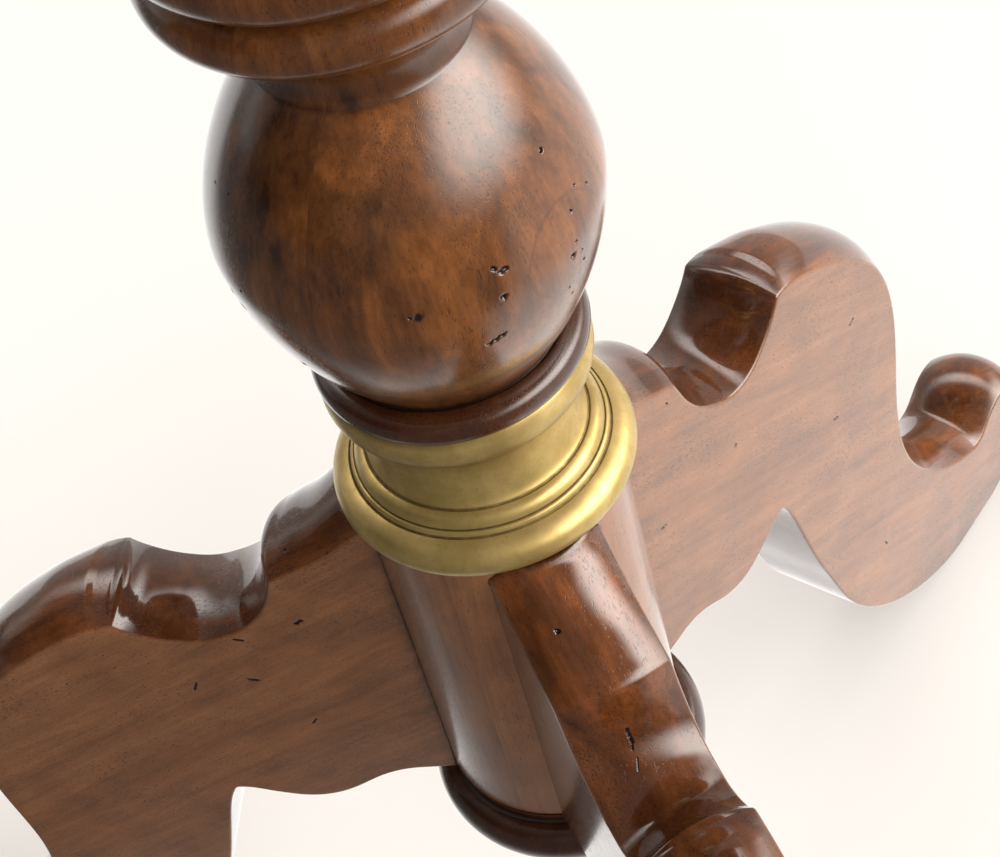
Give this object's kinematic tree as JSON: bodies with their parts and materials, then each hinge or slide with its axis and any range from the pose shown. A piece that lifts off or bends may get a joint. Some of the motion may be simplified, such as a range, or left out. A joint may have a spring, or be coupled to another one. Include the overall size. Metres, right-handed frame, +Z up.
{
  "type": "tilt top table",
  "caption": "Round occasional table whose top tilts upright on a turned pedestal with a brass collar and scrolled plank legs.",
  "frame": {"origin": "on the floor under the column's axis", "axes": "+Z up along the column, one leg points along -Y, the tilt pins lie parallel to X behind the column"},
  "size_m": [0.66, 0.66, 0.762],
  "materials": {
    "walnut_brown_lacquer": "glossy lacquer over a distressed dark brown stain",
    "antique_brass": "satin antique brass with dark patina in the grooves",
    "zinc_steel": "zinc plated",
    "beech_dowel": "raw",
    "nylon_glide": "matte"
  },
  "bodies": {
    "pedestal": {"hub": "walnut_brown_lacquer", "base_disc": "walnut_brown_lacquer", "drop_finial": "walnut_brown_lacquer", "tie_rod": "zinc_steel", "tie_rod_nuts": "zinc_steel", "tie_rod_washers": "zinc_steel", "brass_collar": "antique_brass", "ball_turning": "walnut_brown_lacquer", "column_shaft": "walnut_brown_lacquer", "tilt_block": "walnut_brown_lacquer", "strike_plate": "antique_brass", "strike_screws": "antique_brass", "pivot_pin_left": "zinc_steel", "pivot_pin_right": "zinc_steel", "leg_front": "walnut_brown_lacquer", "leg_right": "walnut_brown_lacquer", "leg_left": "walnut_brown_lacquer", "leg_dowels": "beech_dowel", "foot_glides": "nylon_glide"},
    "top": {"table_top": "walnut_brown_lacquer", "batten_left": "walnut_brown_lacquer", "batten_right": "walnut_brown_lacquer", "batten_screws": "zinc_steel", "catch_plate": "antique_brass", "catch_leaf": "zinc_steel", "catch_screws": "antique_brass"},
    "catch": {"catch_bolt": "antique_brass", "catch_knob": "antique_brass"}
  },
  "joints": [
    {"name": "top_tilt", "type": "hinge", "parent": "pedestal", "child": "top", "pos_m": [0, 0.06, 0.721], "axis": [-1, 0, 0], "range_deg": [0, 90]},
    {"name": "catch_slide", "type": "slide", "parent": "top", "child": "catch", "axis": [0, 1, 0], "range_m": [0, 0.013]}
  ]
}
